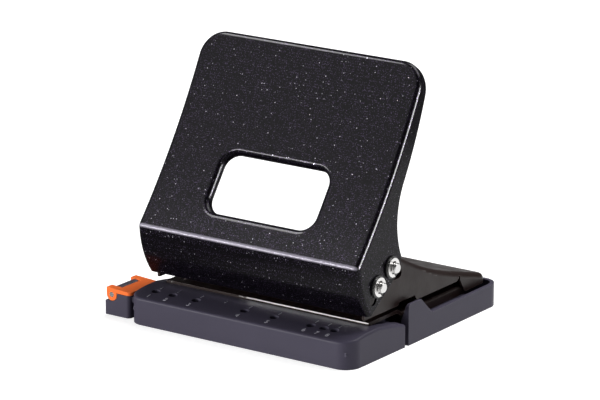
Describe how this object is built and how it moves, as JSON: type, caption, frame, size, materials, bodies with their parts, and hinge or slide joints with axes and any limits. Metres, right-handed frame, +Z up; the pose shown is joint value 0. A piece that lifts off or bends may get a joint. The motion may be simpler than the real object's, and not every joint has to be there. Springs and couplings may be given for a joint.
{
  "type": "two-hole desk punch",
  "caption": "Manual desk hole punch with a folded steel handle and frame, spring-returned punches, a sliding paper guide with a folding stop and a pull-out chip tray.",
  "frame": {"origin": "on the desk, at the middle of the base's footprint", "axes": "+X to the right seen from the front, +Y from the paper table to the rear, +Z up"},
  "size_m": [0.1474, 0.128, 0.1321],
  "materials": {
    "handle_coat": "glossy dark coat with fine metallic flecks",
    "frame_coat": "satin",
    "bright_steel": "bright",
    "nickel": "nickel plate",
    "punch_steel": "ground",
    "spring_steel": "drawn wire",
    "base_plastic": "fine texture",
    "dark_plastic": "smooth",
    "orange_plastic": "semi-gloss"
  },
  "bodies": {
    "base": {"frame": "frame_coat", "base_plate": "frame_coat", "frame_rivets": "bright_steel", "punch_guide": "frame_coat", "guide_bush_left": "punch_steel", "guide_bush_right": "punch_steel", "front_housing": "base_plastic", "housing_screws": "bright_steel", "pivot_pin": "bright_steel", "pivot_clips": "nickel", "pivot_washers": "dark_plastic", "pivot_spacers": "dark_plastic", "spring_left": "spring_steel", "spring_right": "spring_steel"},
    "drive": {"drive_bar": "bright_steel", "drive_clips": "nickel", "drive_washers": "dark_plastic", "drive_spacers": "dark_plastic", "punch_left": "punch_steel", "punch_right": "punch_steel", "spring_seat_left": "nickel", "spring_seat_right": "nickel"},
    "handle": {"handle": "handle_coat"},
    "tray": {"chip_tray": "base_plastic"},
    "guide": {"paper_guide": "base_plastic", "flap_pin": "bright_steel"},
    "flap": {"stop_flap": "orange_plastic"}
  },
  "joints": [
    {"name": "punch_slide", "type": "slide", "parent": "base", "child": "drive", "axis": [0, 0, -1], "range_m": [0, 0.009], "deforming": ["spring_left", "spring_right"]},
    {"name": "handle_hinge", "type": "hinge", "parent": "drive", "child": "handle", "pos_m": [0, -0.0294, 0.0416], "axis": [-1, 0, 0], "range_deg": [0, 42], "stiffness_Nm_per_rad": 0.3, "springref_deg": -28.65},
    {"name": "tray_slide", "type": "slide", "parent": "base", "child": "tray", "axis": [0, 1, 0], "range_m": [0, 0.07]},
    {"name": "guide_slide", "type": "slide", "parent": "base", "child": "guide", "axis": [-1, 0, 0], "range_m": [0, 0.1]},
    {"name": "flap_hinge", "type": "hinge", "parent": "guide", "child": "flap", "pos_m": [-0.0762, -0.051, 0.011], "axis": [0, -1, 0], "range_deg": [0, 95]}
  ],
  "couplings": [
    {"joint": "punch_slide", "follows": "handle_hinge", "m_per_rad": 0.01227}
  ]
}
